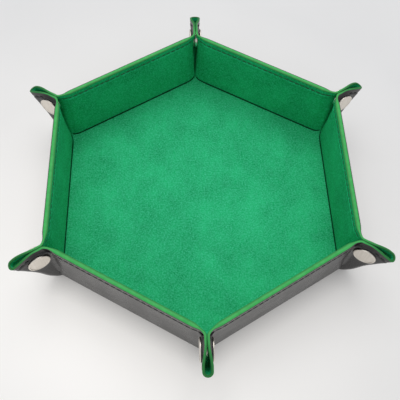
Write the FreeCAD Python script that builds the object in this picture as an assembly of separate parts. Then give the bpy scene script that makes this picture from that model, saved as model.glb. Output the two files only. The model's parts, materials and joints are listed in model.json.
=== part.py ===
"""Folding hexagonal dice tray: one soft laminate stiffened by boards, pinched into six ears by snaps.

The tray is cut flat. A hexagonal base carries six walls on straight folds, and between two walls the
laminate is a 60 degree sector centred on the base's corner. Standing up, each sector folds in half
outwards into an ear, and a snap fastener through both halves of the ear holds it shut.

Each piece is drawn lying flat, as it is cut, and then folded up: an ear half about its fold line at the
end of its wall, and the wall about its fold line at the edge of the base.

Frame: millimetres, +Z up, origin at the centre of the underside, one ear pointing along -Y.
Corner 1 points along -Y and the corners are numbered anticlockwise from above. Wall n runs from
corner n, at its own +x end, to corner n + 1. Seen from outside a corner, its left ear half hangs on
the wall before it and its right ear half on the wall of its own number.
"""

import FreeCAD, Part
import math
import os
from FreeCAD import Vector

# ---- driving dimensions -------------------------------------------------------------------------
SIDES = 6
FLOOR_APOTHEM = 84.0        # centre to the fold between the floor and a wall
WALL_DEPTH = 39.6           # fold line to rim, measured up the wall
WALL_LEAN = 2.8             # degrees that a standing wall leans outwards
LINING = 0.7                # velvet lining
BOARD = 1.6                 # stiffening board inside the base and the walls
COVER = 0.6                 # leather cover
SNAP_GAP = 3.0              # space between the two ear halves, filled by the socket and the stud base
BOARD_INSET = 2.0           # board edge back from a fold line
BOARD_END = 8.0             # wall board's end back from the corner
CORNER_TRIM = 9.0           # base board's corner cut off, along the corner's radius
FOLD_SLIT = 0.15            # half the play between two plies that meet at a fold
WALL_CUTBACK = 1.2          # wall plies' end back from the ear's fold line
EAR_CUTBACK = 0.8           # ear plies' start out from the ear's fold line
EAR_ROOT = 3.0              # ear plies' start up from the corner
EAR_ROUND = 26.0            # radius that the laminate's outer corners are rounded to
POST_HOLE_R = 1.8           # hole through an ear half for a snap's post

# The snap's centre on the standing ear, in the corner's own frame.
SNAP_RADIUS = 107.1         # distance from the tray's axis
SNAP_HEIGHT = 32.1          # height over the table

# Snap fastener, four pressed metal pieces and a wire spring.
CAP_R = 6.6
CAP_THICK = 1.1
CAP_RIM = 0.45              # radius of the cap's rolled rim
CAP_DISH = 0.15             # depth of the shallow dish in the cap's face
CAP_BORDER = 0.5            # flat ring between the dish and the rolled rim
POST_R = 1.65
SOCKET_R = 5.3
SOCKET_SHEET = 0.45
SOCKET_MOUTH_R = 2.6
SOCKET_THICK = 2.2
SPRING_RING_R = 3.05
SPRING_WIRE_R = 0.28
SPRING_OPENING = 50.0       # degrees left open in the wire spring's ring
STUD_R = 4.9
STUD_BASE = 0.7
STUD_HEAD_R = 2.3
STUD_NECK_R = 2.1
STUD_HEAD_DEPTH = 1.4       # stud head beyond its base
STUD_BORE_R = 1.85
STUD_NECK_DEPTH = 0.5       # the neck's length, before the head widens
STUD_NOSE = 0.3             # chamfer round the head's end and under its widest part
RIVET_THICK = 0.2           # flattened end of a post
POST_PLAY = 0.05

# ---- worked out from them -----------------------------------------------------------------------
THICK = COVER + BOARD + LINING
EAR_THICK = COVER + LINING
STEP = 360.0 / SIDES
HALF_STEP = math.radians(STEP / 2)
LEAN = math.radians(WALL_LEAN)
HALF_SIDE = FLOOR_APOTHEM * math.tan(HALF_STEP)
CORNER_RADIUS = FLOOR_APOTHEM / math.cos(HALF_STEP)
STAND_UP = 90.0 - WALL_LEAN                     # degrees a wall turns from flat to standing
EAR_MID = SNAP_GAP / 2 + EAR_THICK / 2          # ear half's middle surface to the ear's own plane
EAR_TURN = math.degrees(math.acos(math.sin(HALF_STEP) * math.cos(LEAN)))
MID_LEVEL = THICK / 2                           # middle surface's height when flat
SNAP_FLOOR = EAR_MID - EAR_THICK / 2            # lining face of a standing ear half
SNAP_SEAT = EAR_MID + EAR_THICK / 2             # cover face of a standing ear half
BIG = 400.0                                     # longer than anything in the tray


# ---- places -------------------------------------------------------------------------------------
def fold_back(depth):
    """How far an ear's fold line is from the corner, measured along the base's fold line."""
    reach = math.sin(HALF_STEP) * (MID_LEVEL * math.cos(LEAN) + depth * math.sin(LEAN))
    return (EAR_MID - reach) / math.cos(HALF_STEP)


def ear_fold_line():
    """Two points of the ear's fold line at a wall's +x end, lying flat in the wall's frame."""
    return [Vector(HALF_SIDE - fold_back(depth), depth, MID_LEVEL) for depth in (0.0, WALL_DEPTH)]


def standing(shape, number):
    """Folds a flat wall ply up, from the wall's frame, x along its fold line and y outwards."""
    shape = shape.copy()
    shape.rotate(Vector(0, 0, THICK), Vector(1, 0, 0), STAND_UP)
    shape.translate(Vector(0, FLOOR_APOTHEM, 0))
    shape.rotate(Vector(0, 0, 0), Vector(0, 0, 1), STEP * (number - 1) + STEP / 2 - 180.0)
    return shape


def at_corner(shape, number):
    """Carries a shape from the corner's frame, x outwards and z up, to corner number."""
    shape = shape.copy()
    shape.rotate(Vector(0, 0, 0), Vector(0, 0, 1), STEP * (number - 1) - 90.0)
    return shape


# ---- plies --------------------------------------------------------------------------------------
def slab(points, low, high):
    """A flat plate of the given outline between two levels."""
    wire = Part.makePolygon([Vector(x, y, low) for x, y in points] + [Vector(*points[0], low)])
    return Part.Face(wire).extrude(Vector(0, 0, high - low))


def hexagon(apothem, low, high, trim=0.0):
    """A hexagonal plate with flats at apothem, its corners cut off by trim along their radius."""
    radius = apothem / math.cos(HALF_STEP)
    points = []
    for corner in range(SIDES):
        angle = math.radians(-90.0 + STEP * corner)
        outwards = Vector(math.cos(angle), math.sin(angle), 0)
        across = Vector(-math.sin(angle), math.cos(angle), 0)
        if trim:
            spread = trim * math.tan(math.radians(90.0) - HALF_STEP)
            for side in (-1, 1):
                point = outwards * (radius - trim) + across * (side * spread)
                points.append((point.x, point.y))
        else:
            points.append((outwards.x * radius, outwards.y * radius))
    return slab(points, low, high)


def wall_slab(low, high, near, far, end=None):
    """A wall ply lying flat: end is its distance from the corner, or it follows the ear's fold line."""
    if end is None:
        ends = [fold_back(depth) + WALL_CUTBACK for depth in (near, far)]
    else:
        ends = [end, end]
    half = [HALF_SIDE - back for back in ends]
    return slab([(-half[0], near), (half[0], near), (half[1], far), (-half[1], far)], low, high)


def ear_slab(low, high):
    """An ear ply at a wall's +x end, lying flat: half of the corner between this wall and its neighbour."""
    round_y = WALL_DEPTH - EAR_ROUND
    round_x = HALF_SIDE + round_y * math.tan(HALF_STEP)
    flat = slab([(0, EAR_ROOT), (round_x, EAR_ROOT), (round_x, WALL_DEPTH), (0, WALL_DEPTH)], low, high)
    rounded = Part.makeCylinder(EAR_ROUND, high - low, Vector(round_x, round_y, low), Vector(0, 0, 1))
    inner, outer = [(HALF_SIDE - fold_back(depth) + EAR_CUTBACK, depth) for depth in (0.0, BIG)]
    start = (HALF_SIDE - FOLD_SLIT * math.cos(HALF_STEP), FOLD_SLIT * math.sin(HALF_STEP))
    end = (start[0] + BIG * math.tan(HALF_STEP), start[1] + BIG)
    wedge = slab([inner, start, end, outer], low, high)
    above_root = slab([(0, EAR_ROOT), (BIG, EAR_ROOT), (BIG, BIG), (0, BIG)], low, high)
    return flat.fuse(rounded).removeSplitter().common(wedge).common(above_root)


def post_hole(number):
    """The round hole for a snap's post, as a solid through both standing ear halves of a corner."""
    reach = 2 * SNAP_SEAT
    start = Vector(SNAP_RADIUS, -reach, SNAP_HEIGHT)
    return at_corner(Part.makeCylinder(POST_HOLE_R, 2 * reach, start, Vector(0, 1, 0)), number)


def standing_ear(number, side):
    """Cover and lining of one ear half, folded up. The left half hangs on the wall before the corner."""
    bottom = MID_LEVEL - EAR_THICK / 2
    low, high = ear_fold_line()
    wall = (number - 2) % SIDES + 1 if side == "left" else number
    shapes = []
    for ply in (ear_slab(bottom, bottom + COVER), ear_slab(bottom + COVER, bottom + EAR_THICK)):
        ply.rotate(low, high - low, EAR_TURN)
        if side == "left":
            ply = ply.mirror(Vector(0, 0, 0), Vector(1, 0, 0))
        shapes.append(standing(ply, wall).cut(post_hole(number)))
    return shapes


# ---- snap fastener ------------------------------------------------------------------------------
def turned(profile):
    """A solid of revolution about the snap's axis. profile lists (radius, level) from the ear's plane."""
    points = [Vector(radius, level, 0) for radius, level in profile]
    face = Part.Face(Part.makePolygon(points + [points[0]]))
    return face.revolve(Vector(0, 0, 0), Vector(0, 1, 0), 360.0)


def snap_cap(rivet_level):
    """Cap with its post, on the positive side. The post's end is flattened at rivet_level."""
    back, face = SNAP_SEAT, SNAP_SEAT + CAP_THICK
    flat_r = CAP_R - CAP_RIM - CAP_BORDER
    disc = turned([
        (0, back), (CAP_R - CAP_RIM, back), (CAP_R, back + CAP_RIM), (CAP_R, face - CAP_RIM),
        (CAP_R - 0.3 * CAP_RIM, face - 0.3 * CAP_RIM), (CAP_R - CAP_RIM, face),
        (flat_r, face), (flat_r - CAP_DISH, face - CAP_DISH), (0, face - CAP_DISH),
    ])
    post = turned([
        (0, rivet_level), (POST_R + RIVET_THICK / 2, rivet_level),
        (POST_R + RIVET_THICK / 2, rivet_level + RIVET_THICK), (POST_R, rivet_level + RIVET_THICK),
        (POST_R, back), (0, back),
    ])
    return disc.fuse(post).removeSplitter()


def snap_socket():
    """Pressed cup with a mouth for the stud, on the negative side."""
    base = -SNAP_FLOOR
    mouth = base + SOCKET_THICK
    inside = SOCKET_R - SOCKET_SHEET
    chamfer = 0.3
    return turned([
        (POST_R + POST_PLAY, base), (SOCKET_R - chamfer, base), (SOCKET_R, base + chamfer),
        (SOCKET_R, mouth - 2 * chamfer), (SOCKET_R - 2 * chamfer, mouth), (SOCKET_MOUTH_R + chamfer, mouth),
        (SOCKET_MOUTH_R, mouth - chamfer), (SOCKET_MOUTH_R, mouth - SOCKET_SHEET),
        (inside, mouth - SOCKET_SHEET), (inside, base + SOCKET_SHEET),
        (POST_R + POST_PLAY, base + SOCKET_SHEET),
    ])


def snap_spring():
    """The open wire ring inside the socket that grips the stud's head."""
    level = -SNAP_FLOOR + SOCKET_THICK - SOCKET_SHEET - SPRING_WIRE_R - POST_PLAY
    return Part.makeTorus(
        SPRING_RING_R, SPRING_WIRE_R, Vector(0, level, 0), Vector(0, 1, 0), -180, 180, 360 - SPRING_OPENING
    )


def snap_stud():
    """Base disc with a hollow headed stud that reaches into the socket, on the positive side."""
    base, top = SNAP_FLOOR, SNAP_FLOOR - STUD_BASE
    end = top - STUD_HEAD_DEPTH
    chamfer = 0.2
    return turned([
        (POST_R + POST_PLAY, base), (STUD_R - chamfer, base), (STUD_R, base - chamfer),
        (STUD_R - chamfer, top), (STUD_NECK_R, top), (STUD_NECK_R, top - STUD_NECK_DEPTH),
        (STUD_HEAD_R, top - STUD_NECK_DEPTH - STUD_NOSE), (STUD_HEAD_R, end + STUD_NOSE),
        (STUD_HEAD_R - STUD_NOSE, end), (STUD_BORE_R, end),
        (STUD_BORE_R, top + POST_PLAY), (POST_R + POST_PLAY, top + POST_PLAY),
    ])


def snap_pieces():
    """The four pieces of one snap in the corner's frame: the socket on the left, the stud on the right."""
    left_rivet = SNAP_FLOOR - SOCKET_SHEET - RIVET_THICK
    right_rivet = SNAP_FLOOR - STUD_BASE + POST_PLAY - RIVET_THICK
    left_cap = snap_cap(left_rivet)
    left_cap.rotate(Vector(0, 0, 0), Vector(0, 0, 1), 180.0)
    pieces = {
        "left_cap": [left_cap],
        "socket": [snap_socket(), snap_spring()],
        "stud": [snap_stud()],
        "right_cap": [snap_cap(right_rivet)],
    }
    for solids in pieces.values():
        for solid in solids:
            solid.translate(Vector(SNAP_RADIUS, 0, SNAP_HEIGHT))
    return pieces


# ---- assembly -----------------------------------------------------------------------------------
def base_nodes():
    """The flat middle: cover, board and lining."""
    edge = FLOOR_APOTHEM - FOLD_SLIT
    return {
        "base_cover": [hexagon(edge, 0, COVER)],
        "base_board": [hexagon(FLOOR_APOTHEM - BOARD_INSET, COVER, COVER + BOARD, CORNER_TRIM)],
        "floor_lining": [hexagon(edge, COVER + BOARD, THICK)],
    }


def wall_nodes(number):
    """Cover, board and lining of one standing wall."""
    plies = {
        "cover": wall_slab(0, COVER, FOLD_SLIT, WALL_DEPTH),
        "board": wall_slab(COVER, COVER + BOARD, BOARD_INSET, WALL_DEPTH, BOARD_END),
        "lining": wall_slab(COVER + BOARD, THICK, FOLD_SLIT, WALL_DEPTH),
    }
    return {f"wall_{number}_{ply}": [standing(shape, number)] for ply, shape in plies.items()}


def corner_nodes(number):
    """Both ear halves and the snap of one corner."""
    nodes = {f"ear_{number}_{side}": standing_ear(number, side) for side in ("left", "right")}
    for name, solids in snap_pieces().items():
        nodes[f"snap_{number}_{name}"] = [at_corner(solid, number) for solid in solids]
    return nodes


def all_nodes():
    """Every node's name and solids."""
    nodes = base_nodes()
    for number in range(1, SIDES + 1):
        nodes.update(wall_nodes(number))
        nodes.update(corner_nodes(number))
    return nodes


def export(nodes):
    """Writes one STEP file per node."""
    os.makedirs("parts", exist_ok=True)
    for name, solids in nodes.items():
        shape = solids[0] if len(solids) == 1 else Part.makeCompound(solids)
        shape.exportStep(os.path.join("parts", name + ".step"))


if __name__ == "__main__":
    export(all_nodes())
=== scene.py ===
"""Looks of the folding hexagonal dice tray: velvet, leather, painted edge, stitching and snap fasteners.

Every piece of laminate is built standing, at rest. Shapes are worked out in metres in the frame of one
corner, x outwards from the tray's axis, y along the right-hand wall's side and z up, and then carried to
each corner. Positions on a wall are (t, h, d): t along the wall from the corner, h up the wall from its
fold line, and d outwards from its velvet face. The tray itself is in the row frame of the CAD nodes.
"""

import json
import math

import bmesh
import bpy
import numpy as np
from mathutils import Matrix, Vector


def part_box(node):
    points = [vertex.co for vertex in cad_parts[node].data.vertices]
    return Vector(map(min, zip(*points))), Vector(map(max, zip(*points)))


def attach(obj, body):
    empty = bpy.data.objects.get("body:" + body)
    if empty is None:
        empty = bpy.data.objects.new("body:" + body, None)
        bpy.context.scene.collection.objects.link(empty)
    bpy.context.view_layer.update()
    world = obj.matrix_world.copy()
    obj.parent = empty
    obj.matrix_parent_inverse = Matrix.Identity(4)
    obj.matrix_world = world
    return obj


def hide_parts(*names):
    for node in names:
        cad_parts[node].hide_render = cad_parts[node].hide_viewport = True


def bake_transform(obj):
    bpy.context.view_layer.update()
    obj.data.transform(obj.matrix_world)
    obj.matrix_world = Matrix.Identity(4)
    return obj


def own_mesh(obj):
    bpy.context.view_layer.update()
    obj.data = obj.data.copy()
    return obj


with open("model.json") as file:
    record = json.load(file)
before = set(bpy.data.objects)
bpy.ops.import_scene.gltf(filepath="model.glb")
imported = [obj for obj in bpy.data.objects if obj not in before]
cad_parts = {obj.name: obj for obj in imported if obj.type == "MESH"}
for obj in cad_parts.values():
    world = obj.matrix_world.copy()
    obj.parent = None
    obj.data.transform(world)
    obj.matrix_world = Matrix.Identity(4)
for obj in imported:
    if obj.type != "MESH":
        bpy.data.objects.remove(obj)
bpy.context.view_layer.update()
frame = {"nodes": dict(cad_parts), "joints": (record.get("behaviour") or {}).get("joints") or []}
MM = 0.001
SIDES = 6
HALF_STEP = math.pi / SIDES
CORNERS = range(1, SIDES + 1)


def joint(name):
    """A joint of the record by its name."""
    return next(j for j in frame["joints"] if j["name"] == name)


# ---- sizes read from the frame ------------------------------------------------------------------
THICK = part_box("floor_lining")[1].z
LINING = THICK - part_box("floor_lining")[0].z
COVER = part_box("base_cover")[1].z
EAR_THICK = LINING + COVER
APOTHEM = Vector(joint("wall_1_fold")["pos_m"]).xy.length
wall_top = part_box("wall_2_lining")[1]
LEAN = math.atan((wall_top.x - LINING - APOTHEM) / (wall_top.z - THICK))
DEPTH = (wall_top.z - THICK) / math.cos(LEAN)
HALF_SIDE = APOTHEM * math.tan(HALF_STEP)
SNAP = (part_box("snap_1_right_cap")[0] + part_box("snap_1_right_cap")[1]) / 2
EAR_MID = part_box("ear_1_right")[1].x - EAR_THICK / 2
FOLD_TURN = math.acos(math.sin(HALF_STEP) * math.cos(LEAN))

# ---- shape of the laminate ----------------------------------------------------------------------
# The soft bend between a wall and its ear half.
STIFF_END = 7.0 * MM            # a wall is straight up to here from its corner
STIFF_FADE = 0.45               # the board's thickness is gone by this share of the bend
BEND_REACH = 3.0 * MM           # the bend runs at most this far past the ear's fold line
BEND_REACH_LOW = 0.6 * MM       # it runs this far at its foot
BEND_REACH_GROWTH = 0.25        # and this much further for each unit of height
BEND_ROOT_CURVE = 1.5           # power by which its lowest row rises to the ear's root
BEND_WAIT = 0.45                # share of the way across the bend at which the blend's start point lies
BEND_PULL = 3.0                 # how much sharper the bend is at its foot
BEND_PULL_TOP = 16 * MM         # and up to what height

# The ear. It stands off its own plane by the half distance between its two halves' middle surfaces.
EAR_ROOT = 3.5 * MM             # lowest row of an ear, from the corner
EAR_ROUND = 26.0 * MM           # radius of the laminate's cut corners
WEDGE_FOOT = 0.66 * MM          # the half distance at the foot
WEDGE_GROWTH = 0.048            # and its growth for each unit of distance from the corner
RIM_PINCH = 0.75 * MM           # the half distance at the rim's neck
RIM_SHARE = 0.6                 # the ear starts to close in to the rim's shape from this share of its height
SNAP_FLAT = (6.7 * MM, 9.4 * MM)    # flat inside the first radius round the snap, free past the second
MOUTH = (1.5 * MM, 107 * MM)    # how far the outer fold stands open at the tip, and where it starts to
BACK_MOUTH = (1.9 * MM, 111 * MM)   # the same for the ear at the back
BACK_CORNER = 4
MOUTH_END = 118.5 * MM          # distance of the tip from the tray's axis
PLATE_EASE = 0.25               # share of the ear's width, at each end, where its rows ease into the next
LOOP_INSET = 0.9 * MM           # the ear's outer fold starts to curve this far from its middle line
LOOP_FULL = (6 * MM, 20 * MM)   # it grows from nothing to that between these distances from the corner
TIP_SHADE = 0.62                 # painted shade: the rim's paint is darkened by this share towards the ear's tip
TIP_SHADE_FROM = 97 * MM         # between these distances from the tray's axis
TIP_SHADE_TO = 117 * MM

# The folds of the walls, and the foot of each corner.
EDGE_ROUND = 0.35 * MM          # rounding of the velvet at a crease
COVER_ROUND = 0.2 * MM          # rounding of the leather under the base
CREASE_HALF = 0.55 * MM         # the velvet stops this far short of a crease, on either side
CREASE_END = (0.3, 0.8)         # the crease closes between these shares of the bend
CREASE_DEPTH = 0.6              # depth of the pressed crease, as a share of the lining
FOLD_FULL = 0.1                 # how far a wall's leather fold stands out past a round one, as a share
ROUND_PULL = 0.7                # pull of a curve towards its corner that makes it about round
FOLD_PULL = 1.3                 # the same for the leather where a wall's fold runs into a corner
EAR_PULL = 2.0                  # and how much more there is of it by the ear's own plane
FOOT_SWELL = 0.7 * MM           # the ear's outer fold is this much fuller at its foot
FOOT_PUFF = 1.4 * MM            # at the foot the leather stands off, coming round the edge of the base board
FOOT_PUFF_IN = 0.6              # share of the bend that it takes to do so
FOOT_TOP = 29 * MM              # the foot's fullness ends this far from the corner

# Stitches along the rim, and paint on the cut edge.
STITCH_DROP = 3.7 * MM          # rim to stitch line
STITCH_PITCH = 3.7 * MM
STITCH_LENGTH = 3.4 * MM
STITCH_RADIUS = 0.42 * MM
STITCH_RINGS = [(0.0, 0.3), (0.12, 0.75), (0.3, 1.0), (0.7, 1.0), (0.88, 0.75), (1.0, 0.3)]    # place, width
STITCH_AROUND = 8
STITCH_FLATNESS = 0.75          # a stitch's height, as a share of its width
GROOVE_DEPTH = 0.38 * MM        # the stitches press the velvet in by this much
GROOVE_WIDTH = 0.7 * MM
LEATHER_GROOVE = 0.5            # depth of the groove in the leather, as a share of that in the velvet
LIP_HEIGHT = 0.2 * MM           # the velvet swells by this much below the stitches
LIP_PLACE = 2.0                 # and this far below them, in groove widths
PAINT_DROP = 0.35 * MM          # how far the edge paint laps over the velvet face
LEATHER_EDGE = 0.42 * MM        # width of the leather's own cut edge that the paint leaves black
PAINT_PROUD = 0.06 * MM
PAINT_DOME = 0.16               # height of the paint's dome, as a share of the edge's width
PAINT_SHARES = np.linspace(0.0, 1.0, 9)     # places across the dome, from the velvet to the leather
PAINT_INNER_SHADE = 0.5                # painted shade: brightness of the paint where it laps over the velvet, along its underside and on the velvet side of its dome
PAINT_INNER_SHADE_END = (0.05, 0.55)   # the painted shade lifts between these places across the dome
PAINT_COVERS_EDGE_BELOW = 0.9                # below this painted-shade tone, towards the ear's tip, the paint covers the leather's cut edge too

# Fineness of the meshes. Rows go up the wall, even but for more of them round the stitches, and columns
# go round the corner.
ROWS_EVEN = 20
STITCH_ROWS = (-1.6, -1, -0.5, 0, 0.5, 1, 1.6, 2.2, 3)      # in groove widths below the stitch line
ROW_LIST = sorted(
    [i / ROWS_EVEN for i in range(ROWS_EVEN + 1)]
    + [1 - (STITCH_DROP + GROOVE_WIDTH * i) / DEPTH for i in STITCH_ROWS]
)
BEND_COLUMNS = 16
PLATE_COLUMNS = 20
LOOP_COLUMNS = 12
# Places of the columns from the start of the bend, in widths of the bend.
COLUMN_SHARES = np.arange(BEND_COLUMNS + PLATE_COLUMNS + LOOP_COLUMNS + 1) / BEND_COLUMNS
CREASE_COLUMNS = 14             # columns of the bend that have a crease at their foot
FOOT_ROWS = 4                   # the lowest rows, which don't set where the bend's blend ends
WALL_COLUMNS = 40
EDGE_STEPS = 5
FOLD_STEPS = 10
CORNER_STEPS = 12


# ---- the laminate's middle surface in a corner's frame -------------------------------------------
CORNER = np.array([APOTHEM / math.cos(HALF_STEP), 0.0, THICK])
ALONG = np.array([-math.sin(HALF_STEP), math.cos(HALF_STEP), 0.0])
UP_WALL = np.array([
    math.cos(HALF_STEP) * math.sin(LEAN), math.sin(HALF_STEP) * math.sin(LEAN), math.cos(LEAN)
])
OUT_WALL = np.array([
    math.cos(HALF_STEP) * math.cos(LEAN), math.sin(HALF_STEP) * math.cos(LEAN), -math.sin(LEAN)
])
CHORD = CORNER + STIFF_END * ALONG      # where the foot of the right-hand wall stops being straight


def corner_1_frame(v):
    """A row-frame point or direction in corner 1's frame."""
    return np.array([-v[1], v[0], v[2]])


EAR_AXIS_POINT = corner_1_frame(joint("ear_1_right_fold")["pos_m"])
EAR_AXIS = corner_1_frame(joint("ear_1_right_fold")["axis"])
SNAP_POINT = np.array([-SNAP.y, EAR_MID, SNAP.z])


def smooth(low, high, x):
    """Smoothstep of x from low to high."""
    s = np.clip((x - low) / (high - low), 0.0, 1.0)
    return s * s * (3 - 2 * s)


def wall_point(t, h, d):
    """A point of the standing right-hand wall, or of its plane carried on past the corner."""
    return CORNER + t * ALONG + h * UP_WALL + d * OUT_WALL


def turned(point, angle):
    """point turned about the ear's fold line."""
    p = point - EAR_AXIS_POINT
    cos, sin = math.cos(angle), math.sin(angle)
    return EAR_AXIS_POINT + p * cos + np.cross(EAR_AXIS, p) * sin + EAR_AXIS * (EAR_AXIS @ p) * (1 - cos)


def ear_point(phi, rho):
    """A point of the flat ear half: rho from the corner, phi from the end of the wall."""
    return turned(wall_point(-rho * math.sin(phi), rho * math.cos(phi), THICK / 2), -FOLD_TURN)


def rim_rho(phi):
    """Distance from the corner to the rim of the ear."""
    centre = (DEPTH - EAR_ROUND) / math.cos(HALF_STEP)
    if math.tan(phi) * DEPTH < (DEPTH - EAR_ROUND) * math.tan(HALF_STEP):
        return DEPTH / math.cos(phi)
    off = HALF_STEP - phi
    return centre * math.cos(off) + math.sqrt(EAR_ROUND**2 - (centre * math.sin(off)) ** 2)


def ear_offset(phi, rho, mouth):
    """Half the distance between the two ear halves' middle surfaces. They spread from the corner upwards, lie
    flat round the snap, and at the rim are pinched at the neck and stand apart at the tip."""
    flat = ear_point(phi, rho)
    from_snap = math.hypot(flat[0] - SNAP_POINT[0], flat[2] - SNAP_POINT[2])
    wedge = WEDGE_FOOT + WEDGE_GROWTH * rho
    opening, opening_start = mouth
    rim = RIM_PINCH + opening * smooth(opening_start, MOUTH_END, flat[0])
    loose = wedge + (rim - wedge) * smooth(RIM_SHARE, 1.0, rho / rim_rho(phi))
    return EAR_MID + (loose - EAR_MID) * smooth(*SNAP_FLAT, from_snap)


def loop_start(k):
    """Where the round outer fold leaves the flat of the ear, at share k of its height: angle and distance."""
    along = EAR_ROOT + (rim_rho(HALF_STEP) - EAR_ROOT) * k
    inset = LOOP_INSET * smooth(*LOOP_FULL, along)
    return HALF_STEP - math.atan2(inset, along), math.hypot(inset, along)


def fold_t(h):
    """Where the ear's fold line crosses the wall's middle surface at height h."""
    base = (EAR_AXIS_POINT - CORNER) @ ALONG
    return base + h * (EAR_AXIS @ ALONG) / (EAR_AXIS @ UP_WALL)


def bend_end(h):
    """Where the soft bend ends on the ear, at height h: along the wall's middle surface from the corner."""
    return fold_t(h) - min(BEND_REACH, BEND_REACH_GROWTH * h + BEND_REACH_LOW)


def across_fold(rho):
    """Direction in the ear's plane square to its outer fold, at distance rho from the corner."""
    step = ear_point(HALF_STEP + 0.01, rho) - ear_point(HALF_STEP - 0.01, rho)
    return step / np.linalg.norm(step)


# How far the velvet stops short of the crease at each column, less and less across the bend.
CREASE_FADE = CREASE_HALF * (1 - smooth(*CREASE_END, COLUMN_SHARES))


def bend_column(s, k, mouth):
    """The soft bend between wall and ear at share s of its width and share k of its height."""
    low = EAR_ROOT * s**BEND_ROOT_CURVE
    h = low + (DEPTH - low) * k
    end_t = bend_end(h)
    phi, rho = math.atan2(-end_t, h), math.hypot(end_t, h)
    end = ear_point(phi, rho)
    end[1] = ear_offset(max(phi, 0.0), rho, mouth)
    start = wall_point(STIFF_END, h, THICK / 2)
    turn_t = (end[1] - wall_point(0.0, h, THICK / 2)[1]) / ALONG[1]
    turn = wall_point(turn_t, h, THICK / 2)
    pull = 2 * s * (1 - s) * (1 + BEND_PULL * (1 - smooth(0.0, BEND_PULL_TOP, h)))
    return (start * (1 - s) ** 2 + turn * pull + end * s * s) / ((1 - s) ** 2 + pull + s * s)


def plate_column(s, k, mouth):
    """The ear half between the bend and its outer fold."""
    h = EAR_ROOT + (DEPTH - EAR_ROOT) * k
    end_t = bend_end(h)
    first = math.atan2(-end_t, h)
    last, last_rho = loop_start(k)
    phi = first + (last - first) * s
    start_rho = math.hypot(end_t, h)
    edge = EAR_ROOT + (rim_rho(phi) - EAR_ROOT) * k
    rho = start_rho + (edge - start_rho) * smooth(0.0, PLATE_EASE, s)
    rho = rho + (last_rho - rho) * smooth(1.0 - PLATE_EASE, 1.0, s)
    point = ear_point(phi, rho)
    point[1] = ear_offset(max(phi, 0.0), rho, mouth)
    return point


def loop_column(s, k, mouth):
    """The round outer fold of the ear, from the plate's edge to the ear's own plane."""
    phi, rho = loop_start(k)
    radius = ear_offset(phi, rho, mouth)
    angle = s * math.pi / 2
    swell = radius + FOOT_SWELL * (1 - smooth(EAR_ROOT, FOOT_TOP, rho))
    point = ear_point(phi, rho) + across_fold(rho) * swell * math.sin(angle)
    point[1] = radius * math.cos(angle)
    return point


def half_corner(mouth):
    """Middle surface, outward normals and half thickness on one grid of rows and columns, how far the leather
    stands off from it, and the grid's zones."""
    columns = [(bend_column, i / BEND_COLUMNS) for i in range(BEND_COLUMNS + 1)]
    columns += [(plate_column, i / PLATE_COLUMNS) for i in range(1, PLATE_COLUMNS + 1)]
    columns += [(loop_column, i / LOOP_COLUMNS) for i in range(1, LOOP_COLUMNS + 1)]
    grid = np.array([[make(s, k, mouth) for make, s in columns] for k in ROW_LIST])
    across, up = np.gradient(grid, axis=1), np.gradient(grid, axis=0)
    normals = np.cross(up, across)
    normals[:, 0] = OUT_WALL
    normals[:, -1, 1] = 0.0
    normals /= np.linalg.norm(normals, axis=2, keepdims=True)
    half = np.full(len(columns), EAR_THICK / 2)
    half += (THICK - EAR_THICK) / 2 * (1 - smooth(0.0, STIFF_FADE, COLUMN_SHARES))
    heights = EAR_ROOT + (DEPTH - EAR_ROOT) * np.array(ROW_LIST)
    puff = np.outer(
        FOOT_PUFF * (1 - smooth(EAR_ROOT, FOOT_TOP, heights)),
        smooth(0.0, FOOT_PUFF_IN, COLUMN_SHARES),
    )
    bend = slice(0, BEND_COLUMNS + 1)
    plate = slice(BEND_COLUMNS, BEND_COLUMNS + PLATE_COLUMNS + 1)
    loop = slice(BEND_COLUMNS + PLATE_COLUMNS, len(columns))
    return grid, normals, half, puff, {"bend": bend, "plate": plate, "loop": loop}


def stitch_dip():
    """How deep each row is pressed in along the stitch line, with the lip that swells below it."""
    below = DEPTH * (1 - np.array(ROW_LIST)) - STITCH_DROP
    groove = GROOVE_DEPTH * np.exp(-((below / GROOVE_WIDTH) ** 2))
    return groove - LIP_HEIGHT * np.exp(-((below / GROOVE_WIDTH - LIP_PLACE) ** 2))


# ---- meshes -------------------------------------------------------------------------------------
SHARP = math.radians(45)        # edges sharper than this are not shaded smooth


def make_object(name, points, faces, material, smooth_faces=True):
    """A mesh object from points in the row frame."""
    mesh = bpy.data.meshes.new(name)
    mesh.from_pydata([tuple(p) for p in points], [], faces)
    mesh.validate()
    mesh.materials.append(material)
    mesh.polygons.foreach_set("use_smooth", [smooth_faces] * len(mesh.polygons))
    obj = bpy.data.objects.new(name, mesh)
    bpy.context.scene.collection.objects.link(obj)
    recalculate(obj)
    mesh.set_sharp_from_angle(angle=SHARP)
    return obj


def recalculate(obj):
    """Turns every face outwards."""
    shape = bmesh.new()
    shape.from_mesh(obj.data)
    bmesh.ops.recalc_face_normals(shape, faces=shape.faces)
    shape.to_mesh(obj.data)
    shape.free()


def grid_faces(rows, columns, start=0, wrap_rows=False):
    """Quads of a grid of points laid out row by row. wrap_rows joins the last row to the first."""
    faces = []
    for r in range(rows if wrap_rows else rows - 1):
        nxt = (r + 1) % rows
        for c in range(columns - 1):
            faces.append((
                start + r * columns + c, start + r * columns + c + 1,
                start + nxt * columns + c + 1, start + nxt * columns + c,
            ))
    return faces


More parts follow.
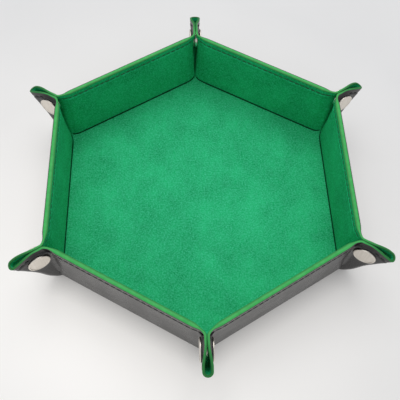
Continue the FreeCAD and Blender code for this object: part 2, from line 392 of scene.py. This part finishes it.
def shell(name, face, back, material):
    """A closed sheet between two grids of the same size."""
    rows, columns = face.shape[:2]
    points = np.concatenate([face.reshape(-1, 3), back.reshape(-1, 3)])
    faces = grid_faces(rows, columns) + grid_faces(rows, columns, rows * columns)
    far = rows * columns
    for c in range(columns - 1):
        for r in (0, rows - 1):
            a = r * columns + c
            faces.append((a, a + 1, far + a + 1, far + a))
    for r in range(rows - 1):
        for c in (0, columns - 1):
            a = r * columns + c
            faces.append((a, a + columns, far + a + columns, far + a))
    return make_object(name, points, faces, material)


def tube(name, sections, material):
    """A closed bar from a list of closed sections of the same number of points."""
    sections = np.array(sections)
    count, around = sections.shape[:2]
    points = sections.transpose(1, 0, 2).reshape(-1, 3)
    faces = grid_faces(around, count, wrap_rows=True)
    faces.append(tuple(i * count for i in range(around)))
    faces.append(tuple(i * count + count - 1 for i in range(around)))
    return make_object(name, points, faces, material)


def ring_faces(rings, around):
    """Faces of a closed form made of rings of points, each ring having the same number of them."""
    faces = []
    for r in range(rings - 1):
        for i in range(around):
            j = (i + 1) % around
            faces.append((r * around + i, r * around + j, (r + 1) * around + j, (r + 1) * around + i))
    faces.append(tuple(range(around)))
    faces.append(tuple(range((rings - 1) * around, rings * around)))
    return faces


def stitch(start, end, normal):
    """Points of one stitch, a flattened rod with round ends lying on a surface. Each of its rings is at a
    share of its length and has a share of its full width."""
    run = end - start
    side = np.cross(run / np.linalg.norm(run), normal)
    points = []
    for share, width in STITCH_RINGS:
        lift = STITCH_RADIUS * (0.5 * width - 0.25)
        for i in range(STITCH_AROUND):
            angle = 2 * math.pi * i / STITCH_AROUND
            points.append(
                start + run * share + side * STITCH_RADIUS * width * math.cos(angle)
                + normal * (lift + STITCH_FLATNESS * STITCH_RADIUS * width * math.sin(angle))
            )
    return points


def stitches(name, path, normals, material):
    """A run of stitches along a path of points, with half a gap at each end."""
    steps = np.concatenate([[0.0], np.cumsum(np.linalg.norm(np.diff(path, axis=0), axis=1))])

    def at(distance, values):
        return np.array([np.interp(distance, steps, values[:, i]) for i in range(3)])

    points, faces = [], []
    one = ring_faces(len(STITCH_RINGS), STITCH_AROUND)
    count = int(round(steps[-1] / STITCH_PITCH))
    pitch = steps[-1] / max(count, 1)
    for i in range(count):
        middle = (i + 0.5) * pitch
        normal = at(middle, normals)
        normal /= np.linalg.norm(normal)
        start, end = [at(middle + part * STITCH_LENGTH / 2, path) for part in (-1, 1)]
        faces += [tuple(len(points) + v for v in face) for face in one]
        points += stitch(start, end, normal)
    return make_object(name, points, faces, material)


def paint_section(inner, outer, up):
    """Closed section of the painted edge over a rim that runs from its inner to its outer face."""
    across = outer - inner
    width = np.linalg.norm(across)
    across = across / width
    section = [inner - up * PAINT_DROP - across * PAINT_PROUD]
    for share in PAINT_SHARES:
        lift = PAINT_DOME * width * (1 - abs(2 * share - 1) ** 3)
        proud = PAINT_PROUD * (1 - 2 * share)
        section.append(inner + across * (width * share - proud) + up * lift)
    section.append(inner - up * PAINT_DROP + across * 0.3 * width)
    return section


# ---- carrying shapes to their place --------------------------------------------------------------
MIRROR = np.array([1.0, -1.0, 1.0])


def to_corner(points, number, side):
    """Carries points from the corner's frame to corner number. The left half is the mirror of the right."""
    points = np.array(points, float)
    if side == "left":
        points = points * MIRROR
    angle = -math.pi / 2 + 2 * HALF_STEP * (number - 1)
    cos, sin = math.cos(angle), math.sin(angle)
    x, y = points[..., 0].copy(), points[..., 1].copy()
    points[..., 0], points[..., 1] = x * cos - y * sin, x * sin + y * cos
    return points


# ---- materials ----------------------------------------------------------------------------------
def new_material(name):
    """An empty node material with its shader and output."""
    material = bpy.data.materials.new(name)
    material.use_nodes = True
    nodes = material.node_tree.nodes
    return material, nodes, material.node_tree.links, nodes["Principled BSDF"]


def noise(nodes, links, scale, detail=3.0, roughness=0.5, stretch=None):
    """A noise texture on object coordinates, in cycles per metre."""
    coordinates = nodes.new("ShaderNodeTexCoord")
    texture = nodes.new("ShaderNodeTexNoise")
    texture.inputs["Scale"].default_value = scale
    texture.inputs["Detail"].default_value = detail
    texture.inputs["Roughness"].default_value = roughness
    if stretch:
        mapping = nodes.new("ShaderNodeMapping")
        mapping.inputs["Scale"].default_value = stretch
        links.new(coordinates.outputs["Object"], mapping.inputs["Vector"])
        links.new(mapping.outputs["Vector"], texture.inputs["Vector"])
    else:
        links.new(coordinates.outputs["Object"], texture.inputs["Vector"])
    return texture.outputs["Fac"]


def ramp(nodes, links, factor, stops):
    """A colour ramp over a factor. stops lists (position, colour)."""
    node = nodes.new("ShaderNodeValToRGB")
    elements = node.color_ramp.elements
    while len(elements) < len(stops):
        elements.new(0.5)
    for element, (position, colour) in zip(elements, stops):
        element.position = position
        element.color = (*colour, 1.0)
    links.new(factor, node.inputs["Fac"])
    return node.outputs["Color"]


def multiply(nodes, links, first, second, share):
    """first multiplied by second, to a share."""
    node = nodes.new("ShaderNodeMix")
    node.data_type = "RGBA"
    node.blend_type = "MULTIPLY"
    node.inputs["Factor"].default_value = share
    links.new(first, node.inputs["A"])
    links.new(second, node.inputs["B"])
    return node.outputs["Result"]


def mix(nodes, links, share, first, second):
    """first, changing to the plain colour second by a share from a node."""
    node = nodes.new("ShaderNodeMix")
    node.data_type = "RGBA"
    links.new(share, node.inputs["Factor"])
    links.new(first, node.inputs["A"])
    node.inputs["B"].default_value = (*second, 1.0)
    return node.outputs["Result"]


def bump(nodes, links, heights, shader):
    """Adds bumps, each (height, strength, distance), one on top of the other."""
    normal = None
    for height, strength, distance in heights:
        node = nodes.new("ShaderNodeBump")
        node.inputs["Strength"].default_value = strength
        node.inputs["Distance"].default_value = distance
        links.new(height, node.inputs["Height"])
        if normal:
            links.new(normal, node.inputs["Normal"])
        normal = node.outputs["Normal"]
    links.new(normal, shader.inputs["Normal"])


def velvet(name, dark, light, tips):
    """Short-napped velvet: fine pile with pale tips, brushed patches and a soft sheen."""
    material, nodes, links, shader = new_material(name)
    patches = noise(nodes, links, 42.0, 5.0, 0.62)
    pile = noise(nodes, links, 1000.0, 5.0, 0.8)
    brushed = noise(nodes, links, 260.0, 3.0, 0.6, (1.0, 0.45, 1.0))
    colour = ramp(nodes, links, patches, [(0.32, dark), (0.68, light)])
    strokes = ramp(nodes, links, brushed, [(0.3, (0.80, 0.80, 0.80)), (0.7, (1.0, 1.0, 1.0))])
    colour = multiply(nodes, links, colour, strokes, 0.8)
    tip_share = ramp(nodes, links, pile, [(0.42, (0.0, 0.0, 0.0)), (0.68, (0.8, 0.8, 0.8))])
    colour = mix(nodes, links, tip_share, colour, tips)
    links.new(colour, shader.inputs["Base Color"])
    shader.inputs["Roughness"].default_value = 0.8
    shader.inputs["Specular IOR Level"].default_value = 0.06
    shader.inputs["Sheen Weight"].default_value = 0.02
    shader.inputs["Sheen Roughness"].default_value = 0.5
    shader.inputs["Sheen Tint"].default_value = (0.35, 0.9, 0.6, 1.0)
    bump(nodes, links, [(brushed, 0.3, 0.0004), (pile, 0.6, 0.00015)], shader)
    return material


def leather():
    """Black grained leather with a satin finish."""
    material, nodes, links, shader = new_material("black_leather")
    coordinates = nodes.new("ShaderNodeTexCoord")
    cells = nodes.new("ShaderNodeTexVoronoi")
    cells.feature = "DISTANCE_TO_EDGE"
    cells.inputs["Scale"].default_value = 900.0
    links.new(coordinates.outputs["Object"], cells.inputs["Vector"])
    wear = noise(nodes, links, 60.0, 4.0, 0.6)
    pores = noise(nodes, links, 2200.0, 2.0, 0.5)
    links.new(
        ramp(nodes, links, wear, [(0.3, (0.010, 0.0095, 0.0095)), (0.7, (0.019, 0.018, 0.018))]),
        shader.inputs["Base Color"],
    )
    links.new(
        ramp(nodes, links, wear, [(0.3, (0.22,) * 3), (0.7, (0.34,) * 3)]), shader.inputs["Roughness"]
    )
    shader.inputs["IOR"].default_value = 1.5
    shader.inputs["Specular IOR Level"].default_value = 0.45
    bump(nodes, links, [(cells.outputs["Distance"], 0.35, 0.0002), (pores, 0.2, 0.00006)], shader)
    return material


def edge_paint():
    """Bright green paint on the laminate's cut edge, slightly uneven, with painted shade that darkens it
    where the mesh's shade attribute is low.
    """
    material, nodes, links, shader = new_material("green_edge_paint")
    uneven = noise(nodes, links, 320.0, 3.0, 0.6)
    bright = ramp(nodes, links, uneven, [(0.3, (0.030, 0.37, 0.075)), (0.7, (0.055, 0.46, 0.105))])
    # painted shade: where the shade attribute is low, the paint is mixed towards a near-black green
    paint_shade = nodes.new("ShaderNodeAttribute")
    paint_shade.attribute_name = "paint_shade"
    shade_mix = ramp(nodes, links, paint_shade.outputs["Fac"], [(0.0, (1.0, 1.0, 1.0)), (1.0, (0.0, 0.0, 0.0))])
    links.new(mix(nodes, links, shade_mix, bright, (0.002, 0.045, 0.006)), shader.inputs["Base Color"])
    shader.inputs["Roughness"].default_value = 0.5
    shader.inputs["Specular IOR Level"].default_value = 0.3
    bump(nodes, links, [(uneven, 0.35, 0.0003)], shader)
    return material


def thread(name, dark, light):
    """Twisted sewing thread."""
    material, nodes, links, shader = new_material(name)
    fibres = noise(nodes, links, 2600.0, 2.0, 0.6)
    links.new(ramp(nodes, links, fibres, [(0.3, dark), (0.7, light)]), shader.inputs["Base Color"])
    shader.inputs["Roughness"].default_value = 0.6
    bump(nodes, links, [(fibres, 0.6, 0.0001)], shader)
    return material


def nickel():
    """Satin nickel plate with fine handling marks."""
    material, nodes, links, shader = new_material("satin_nickel")
    brushed = noise(nodes, links, 900.0, 3.0, 0.6, (1.0, 1.0, 0.08))
    links.new(
        ramp(nodes, links, brushed, [(0.3, (0.70, 0.65, 0.58)), (0.7, (0.80, 0.75, 0.68))]),
        shader.inputs["Base Color"],
    )
    shader.inputs["Metallic"].default_value = 1.0
    links.new(
        ramp(nodes, links, brushed, [(0.3, (0.30,) * 3), (0.7, (0.40,) * 3)]), shader.inputs["Roughness"]
    )
    bump(nodes, links, [(brushed, 0.1, 0.0001)], shader)
    return material


def board():
    """Grey bookbinding board."""
    material, nodes, links, shader = new_material("grey_board")
    fibres = noise(nodes, links, 700.0, 4.0, 0.6)
    links.new(
        ramp(nodes, links, fibres, [(0.3, (0.24, 0.21, 0.17)), (0.7, (0.33, 0.29, 0.24))]),
        shader.inputs["Base Color"],
    )
    shader.inputs["Roughness"].default_value = 0.95
    bump(nodes, links, [(fibres, 0.3, 0.0002)], shader)
    return material


VELVET = velvet("green_velvet", (0.003, 0.30, 0.094), (0.015, 0.48, 0.172), (0.08, 0.65, 0.37))
# Painted shade: walls and ears get a darker, more saturated copy of the floor's velvet, for the lesser light
# that falls on them.
SHADED_WALL_VELVET = velvet("wall_velvet_painted_shade", (0.0015, 0.28, 0.077), (0.0075, 0.446, 0.141), (0.04, 0.605, 0.303))
# Painted shade: a near-black copy of the velvet for the pressed creases at the folds, where shade falls.
CREASE_SHADE_VELVET = velvet("crease_velvet_painted_shade", (0.001, 0.045, 0.014), (0.002, 0.065, 0.020), (0.005, 0.11, 0.04))
LEATHER = leather()
PAINT = edge_paint()
THREAD_IN = thread("dark_green_thread", (0.002, 0.07, 0.025), (0.006, 0.12, 0.045))
THREAD_OUT = thread("black_thread", (0.008, 0.008, 0.009), (0.03, 0.03, 0.032))
NICKEL = nickel()
BOARD = board()


# ---- pieces -------------------------------------------------------------------------------------
def ply_grids(middle, normals, half, crease, puff):
    """Faces and backs of the velvet and the leather of a stretch of laminate, pressed in along the stitches.
    crease is how far its velvet stops short of its foot, at each column, and puff how far its leather stands
    off."""
    dip = stitch_dip()[:, None, None] * normals
    face = middle - normals * half[None, :, None]
    back = middle + normals * (half + puff)[:, :, None]
    velvet_back = face + normals * LINING
    leather_back = back - normals * COVER
    up = middle[1] - middle[0]
    lift = up / np.linalg.norm(up, axis=1, keepdims=True) * crease[:, None]
    face[0] += lift
    velvet_back[0] += lift
    return face + dip, velvet_back, leather_back, back - LEATHER_GROOVE * dip


def rim_paint(name, middle, normals, half, shade_tones):
    """The painted edge along the top row of a stretch of laminate. The tones given for each column are
    painted shade: how bright the paint is there, and where that is low the paint covers the leather's cut
    edge as well."""
    sections = []
    for c in range(middle.shape[1]):
        up = middle[-1, c] - middle[-2, c]
        up = up / np.linalg.norm(up)
        inner = middle[-1, c] - normals[-1, c] * half[c]
        black = LEATHER_EDGE * smooth(PAINT_COVERS_EDGE_BELOW, 1.0, shade_tones[c])
        outer = middle[-1, c] + normals[-1, c] * (half[c] - black)
        sections.append(paint_section(inner, outer, up))
    paint = tube(name, sections, PAINT)
    attribute = paint.data.attributes.new("paint_shade", "FLOAT", "POINT")
    # painted shade on the velvet side of the dome, on its lap over the velvet and along its underside
    dome = PAINT_INNER_SHADE + (1 - PAINT_INNER_SHADE) * smooth(*PAINT_INNER_SHADE_END, PAINT_SHARES)
    inner_shade = np.array([PAINT_INNER_SHADE, *dome, PAINT_INNER_SHADE])
    attribute.data.foreach_set("value", np.outer(inner_shade, shade_tones).ravel().astype(np.float32))
    return paint


def row_at_stitches():
    """The row of the grids that the stitches run along."""
    level = 1 - STITCH_DROP / DEPTH
    return min(range(len(ROW_LIST)), key=lambda i: abs(ROW_LIST[i] - level))


def ear_half_pieces(number, side, zone, columns, corner):
    """All pieces of one zone of one ear half: velvet, leather, edge paint and stitches."""
    grid, normals, half, puff, _ = corner
    middle = to_corner(grid[:, columns], number, side)
    out = to_corner(normals[:, columns], number, side)
    # painted shade on the rim's paint towards the ear's tip
    shade_tones = 1 - TIP_SHADE * smooth(TIP_SHADE_FROM, TIP_SHADE_TO, grid[-1, columns, 0])
    name = f"ear_{number}_{side}_{zone}"
    face, velvet_back, leather_back, back = ply_grids(
        middle, out, half[columns], CREASE_FADE[columns], puff[:, columns]
    )
    pieces = [
        shell(name + "_velvet", face, velvet_back, SHADED_WALL_VELVET),
        shell(name + "_leather", leather_back, back, LEATHER),
        rim_paint(name + "_edge_paint", middle, out, half[columns], shade_tones),
    ]
    if zone != "loop":
        row = row_at_stitches()
        pieces.append(stitches(name + "_inner_stitches", face[row], -out[row], THREAD_IN))
        pieces.append(stitches(name + "_outer_stitches", back[row], out[row], THREAD_OUT))
    return pieces


def blend_ends(grid, columns):
    """Start and end points for a blend across the bend, the start a share of the way across it and the end at
    its last column."""
    zone = grid[:, columns]
    direction = zone[-1, -1] - zone[-1, 0]
    direction = direction - EAR_AXIS * (EAR_AXIS @ direction)
    direction /= np.linalg.norm(direction)
    first = (zone[:, 0] - zone[0, 0]) @ direction
    last = (zone[FOOT_ROWS:, -1] - zone[0, 0]) @ direction
    slack = THICK / 2 * abs(OUT_WALL @ direction)
    start = zone[0, 0] + direction * (first.max() + slack)
    end = zone[0, 0] + direction * (last.min() - EAR_THICK / 2 * abs(direction[1]))
    return start + BEND_WAIT * (end - start), end


def flat_area(outline):
    """Area inside a flat outline, whichever way it lies."""
    first = outline[0]
    fans = [np.cross(a - first, b - first) for a, b in zip(outline[1:], outline[2:])]
    return float(np.linalg.norm(np.sum(fans, axis=0)) / 2)


def build_ear_half(number, side, corner):
    """One ear half with its bend into the wall and its round outer fold."""
    grid, _, _, _, zones = corner
    body = f"ear_{number}_{side}"
    start, end = [to_corner(p, number, side) for p in blend_ends(grid, zones["bend"])]
    for piece in ear_half_pieces(number, side, "bend", zones["bend"], corner):
        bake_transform(piece)
    plate = ear_half_pieces(number, side, "plate", zones["plate"], corner)
    for piece in plate:
        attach(piece, body)
    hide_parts(f"ear_{number}_{side}")
    inward = np.array([0.0, -1.0, 0.0])
    axis = to_corner(across_fold(DEPTH) + inward, number, side)
    anchor = to_corner(ear_point(HALF_STEP, DEPTH), number, side)
    for piece in ear_half_pieces(number, side, "loop", zones["loop"], corner):
        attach(piece, body)
        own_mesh(piece)


def wall_frame(number):
    """Point of the wall's middle on its fold line, its direction along, up and out, in the row frame."""
    azimuth = -math.pi / 2 + HALF_STEP * (2 * number - 1)
    out = np.array([math.cos(azimuth), math.sin(azimuth), 0.0])
    along = np.array([-math.sin(azimuth), math.cos(azimuth), 0.0])
    up = out * math.sin(LEAN) + np.array([0.0, 0.0, math.cos(LEAN)])
    normal = out * math.cos(LEAN) - np.array([0.0, 0.0, math.sin(LEAN)])
    middle = out * APOTHEM + np.array([0.0, 0.0, THICK])
    return middle, along, up, normal, out


def build_wall(number):
    """The stiff part of one wall, with its edge paint and stitches, and its fold at the floor."""
    middle, along, up, normal, out = wall_frame(number)
    reach = HALF_SIDE - STIFF_END
    places = np.linspace(-reach, reach, WALL_COLUMNS + 1)
    grid = np.array([
        [middle + along * x + up * DEPTH * k + normal * THICK / 2 for x in places] for k in ROW_LIST
    ])
    normals = np.broadcast_to(normal, grid.shape).copy()
    half = np.full(len(places), THICK / 2)
    crease, puff = np.full(len(places), CREASE_HALF), np.zeros(grid.shape[:2])
    face, velvet_back, leather_back, back = ply_grids(grid, normals, half, crease, puff)
    name = f"wall_{number}"
    lining = shell(name + "_velvet", face, velvet_back, SHADED_WALL_VELVET)
    cover = shell(name + "_leather", leather_back, back, LEATHER)
    row = row_at_stitches()
    pieces = [
        lining, cover,
        rim_paint(name + "_edge_paint", grid, normals, half, np.ones(len(places))),
        stitches(name + "_inner_stitches", face[row], -normals[row], THREAD_IN),
        stitches(name + "_outer_stitches", back[row], normals[row], THREAD_OUT),
    ]
    for piece in pieces:
        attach(piece, name)
    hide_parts(name + "_lining")
    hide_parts(name + "_cover")
    build_fold(number, middle, along, up, normal, out, reach)


def build_fold(number, middle, along, up, normal, out, reach):
    """The laminate round the outside of a wall's fold: leather outside, and pressed velvet in the crease,
    painted near black for the shade there.
    """
    down = np.array([0.0, 0.0, -1.0])
    layers = (
        ("leather", "fold_leather", THICK, THICK - COVER, 0.0, FOLD_FULL, LEATHER),
        ("velvet", "crease", LINING, CREASE_DEPTH * LINING, CREASE_HALF, 0.0, CREASE_SHADE_VELVET),
    )
    for ply, name, outer, inner, flat, fullness, material in layers:
        sections = []
        for x in (-reach, reach):
            section = []
            for radius in (outer, inner):
                line = [down * radius - out * flat]
                for i in range(FOLD_STEPS + 1):
                    angle = (math.pi / 2 - LEAN) * i / FOLD_STEPS
                    reach_out = radius * (1 + fullness * math.sin(2 * angle) ** 2)
                    line.append((out * math.sin(angle) + down * math.cos(angle)) * reach_out)
                line.append(normal * radius + up * flat)
                section += line if radius == outer else line[::-1]
            sections.append([middle + along * x + step for step in section])
        piece = tube(f"wall_{number}_{name}", sections, material)
        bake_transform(piece)


def chord_half(inset):
    """Half the length of the line that cuts off a corner of the base, where the sides are inset."""
    return (APOTHEM - inset - CHORD[0] * math.cos(HALF_STEP)) / math.sin(HALF_STEP)


def hexagon_outline(inset):
    """Outline of the base with each corner cut off where the walls stop being straight."""
    points = []
    for number in CORNERS:
        for side in (-1, 1):
            points.append(to_corner([CHORD[0], side * chord_half(inset), 0.0], number, "right"))
    return points


def hexagon_ply(name, inset, low, high, rounding, top_round, material):
    """A flat hexagonal ply with one rounded edge, its upper or its lower one."""
    levels = []
    for i in range(EDGE_STEPS + 1):
        angle = math.pi / 2 * i / EDGE_STEPS
        more, drop = rounding * (1 - math.cos(angle)), rounding * (1 - math.sin(angle))
        levels.append((inset + more, high - drop) if top_round else (inset + more, low + drop))
    levels = [(inset, low if top_round else high)] + levels
    rings = [[p + np.array([0, 0, z]) for p in hexagon_outline(edge)] for edge, z in levels]
    count = len(rings[0])
    points = [p for ring in rings for p in ring]
    return make_object(name, points, ring_faces(len(rings), count), material, smooth_faces=False)


def build_base():
    """Floor lining and the cover under it."""
    lining = hexagon_ply("floor_velvet", CREASE_HALF, THICK - LINING, THICK, EDGE_ROUND, True, VELVET)
    cover = hexagon_ply("base_leather", 0.0, 0.0, COVER, COVER_ROUND, False, LEATHER)
    for piece, ply, node in ((lining, "velvet", "floor_lining"), (cover, "leather", "base_cover")):
        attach(piece, "base")
        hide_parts(node)
    flat_area(hexagon_outline(0.0))


def both_halves(points):
    """Points along the foot of a corner's right half, then back along its left half."""
    return [*points] + [p * MIRROR for p in points[-2::-1]]


def build_corner_floor(number, corner):
    """A tip of the floor, where velvet and leather run up into the foot of the ear, and the crease there."""
    grid, normals, half, puff, _ = corner
    inner = grid[0] - normals[0] * half[:, None]
    outer = grid[0] + normals[0] * (half + puff[0])[:, None]
    level_out = normals[0] * np.array([1.0, 1.0, 0.0])
    level_out /= np.linalg.norm(level_out, axis=1, keepdims=True)
    short = inner - level_out * CREASE_FADE[:, None]
    short[:, 1] = np.maximum(short[:, 1], 0.0)
    up = grid[1] - grid[0]
    up /= np.linalg.norm(up, axis=1, keepdims=True)
    for ply, edge, level, inset, first_pull, material in (
        ("velvet", short, THICK, CREASE_HALF, ROUND_PULL, VELVET),
        ("leather", outer, 0.0, 0.0, FOLD_PULL, LEATHER),
    ):
        shares = 1 - np.arange(len(edge)) / (len(edge) - 1)
        start = np.array([[CHORD[0], chord_half(inset) * share, level] for share in shares])
        turn = edge - up * ((edge[:, 2] - level) / up[:, 2])[:, None]
        rows = []
        for v in range(CORNER_STEPS + 1):
            share = v / CORNER_STEPS
            pull = 2 * share * (1 - share) * (first_pull + EAR_PULL * (1 - shares))[:, None]
            line = start * (1 - share) ** 2 + turn * pull + edge * share**2
            rows.append(both_halves(line / ((1 - share) ** 2 + pull + share**2)))
        face = to_corner(rows, number, "right")
        back = face - np.array([0.0, 0.0, LINING if ply == "velvet" else -COVER])
        squash_to_floor(shell(f"corner_{number}_floor_{ply}", face, back, material))
    for side in ("left", "right"):
        layers = []
        for depth in (CREASE_DEPTH * LINING, LINING):
            drop = np.array([0.0, 0.0, -depth])
            bottom = inner + normals[0] * depth
            lines = np.array([short + drop, bottom + drop, bottom + up * CREASE_FADE[:, None]])
            layers.append(to_corner(lines[:, :CREASE_COLUMNS], number, side))
        # the crease's pressed velvet is painted near black for the shade in it
        crease = shell(f"corner_{number}_{side}_crease", layers[0], layers[1], CREASE_SHADE_VELVET)
        squash_to_floor(crease)


def squash_to_floor(piece):
    """Hangs a piece of a corner's foot on the base, with a mesh of its own."""
    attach(piece, "base")
    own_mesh(piece)


def finish_metal_and_boards():
    """Gives the CAD nodes that stay their materials."""
    for name, node in frame["nodes"].items():
        if name.startswith("snap"):
            material = NICKEL
        elif name.endswith("board"):
            material = BOARD
        else:
            continue
        for slot in node.material_slots:
            slot.material = material


# ---- stage, light and camera --------------------------------------------------------------------
TABLE_HALF = 3.0                # half the table top's side
GLOW_CENTRE = (-45 * MM, -60 * MM, 0.0)     # the table is brightest here
GLOW_REACH = 250 * MM           # and evenly dim from this far
GLOW_STRENGTH = 0.50
CONTACT_REACH = 13 * MM         # the table's glow fades this close to what stands on it
CONTACT_SHARE = 0.85            # by this much


def set_view():
    """Shows colours as they are, with no film curve."""
    bpy.context.scene.view_settings.view_transform = "Standard"


def build_stage():
    """A large pale table top, which gives off a soft glow of its own."""
    material, nodes, links, shader = new_material("pale_table")
    uneven = noise(nodes, links, 9.0, 3.0, 0.5)
    pale = ramp(nodes, links, uneven, [(0.3, (0.49, 0.488, 0.485)), (0.7, (0.52, 0.518, 0.515))])
    links.new(pale, shader.inputs["Base Color"])
    coordinates = nodes.new("ShaderNodeTexCoord")
    away = nodes.new("ShaderNodeVectorMath")
    away.operation = "DISTANCE"
    away.inputs[1].default_value = GLOW_CENTRE
    links.new(coordinates.outputs["Object"], away.inputs[0])
    share = nodes.new("ShaderNodeMapRange")
    share.inputs["From Max"].default_value = GLOW_REACH
    links.new(away.outputs["Value"], share.inputs["Value"])
    fading = [(0.16, (1.0, 0.965, 0.92)), (0.62, (0.60, 0.585, 0.57)), (1.0, (0.45, 0.45, 0.46))]
    glow = ramp(nodes, links, share.outputs["Result"], fading)
    contact = nodes.new("ShaderNodeAmbientOcclusion")
    contact.inputs["Distance"].default_value = CONTACT_REACH
    glow = multiply(nodes, links, glow, contact.outputs["Color"], CONTACT_SHARE)
    links.new(glow, shader.inputs["Emission Color"])
    shader.inputs["Roughness"].default_value = 0.6
    shader.inputs["Emission Strength"].default_value = GLOW_STRENGTH
    points = [(x * TABLE_HALF, y * TABLE_HALF, 0) for x, y in ((-1, -1), (1, -1), (1, 1), (-1, 1))]
    table = make_object("table", points, [(0, 1, 2, 3)], material, smooth_faces=False)


def area_light(name, location, target, size, power, colour):
    """A square area light aimed at a point."""
    data = bpy.data.lights.new(name, "AREA")
    data.shape = "SQUARE"
    data.size = size
    data.energy = power
    data.color = colour
    light = bpy.data.objects.new(name, data)
    light.location = location
    light.rotation_euler = (Vector(target) - Vector(location)).to_track_quat("-Z", "Y").to_euler()
    bpy.context.scene.collection.objects.link(light)


def build_lights():
    """Soft light from overhead and behind, with a weak fill from the front."""
    world = bpy.data.worlds.new("studio")
    world.use_nodes = True
    background = world.node_tree.nodes["Background"]
    background.inputs["Color"].default_value = (0.95, 0.97, 1.0, 1.0)
    background.inputs["Strength"].default_value = 0.62
    bpy.context.scene.world = world
    area_light("overhead", (0.0, 0.40, 1.0), (0, 0, 0), 0.9, 5.8, (1.0, 0.99, 0.97))
    area_light("front", (-0.4, -0.9, 0.6), (0, 0, 0), 0.8, 0.6, (1.0, 0.99, 0.97))


def build_camera():
    """The viewpoint: in front of corner 1, a little to its left, 62 degrees up."""
    azimuth = math.radians(-4.14)
    elevation = math.radians(61.57)
    roll = math.radians(2.64)
    distance = 4.74 * APOTHEM
    aim = Matrix.Rotation(azimuth, 3, "Z") @ Vector((0.0077 * APOTHEM, -0.0131 * APOTHEM, 0.0))
    back = Vector((
        math.sin(azimuth) * math.cos(elevation), -math.cos(azimuth) * math.cos(elevation), math.sin(elevation)
    ))
    right = Vector((0, 0, 1)).cross(back).normalized()
    up = back.cross(right)
    x = right * math.cos(roll) + up * math.sin(roll)
    y = up * math.cos(roll) - right * math.sin(roll)
    data = bpy.data.cameras.new("camera")
    data.sensor_width = 36.0
    data.lens = 55.2
    data.clip_start = 0.01
    camera = bpy.data.objects.new("camera", data)
    turn = Matrix((x, y, back)).transposed().to_4x4()
    camera.matrix_world = Matrix.Translation(aim + back * distance) @ turn
    bpy.context.scene.collection.objects.link(camera)
    bpy.context.scene.camera = camera


# ---- build --------------------------------------------------------------------------------------
build_base()
for number in CORNERS:
    corner = half_corner(BACK_MOUTH if number == BACK_CORNER else MOUTH)
    build_wall(number)
    build_corner_floor(number, corner)
    for side in ("left", "right"):
        build_ear_half(number, side, corner)
finish_metal_and_boards()
build_stage()
build_lights()
build_camera()
set_view()
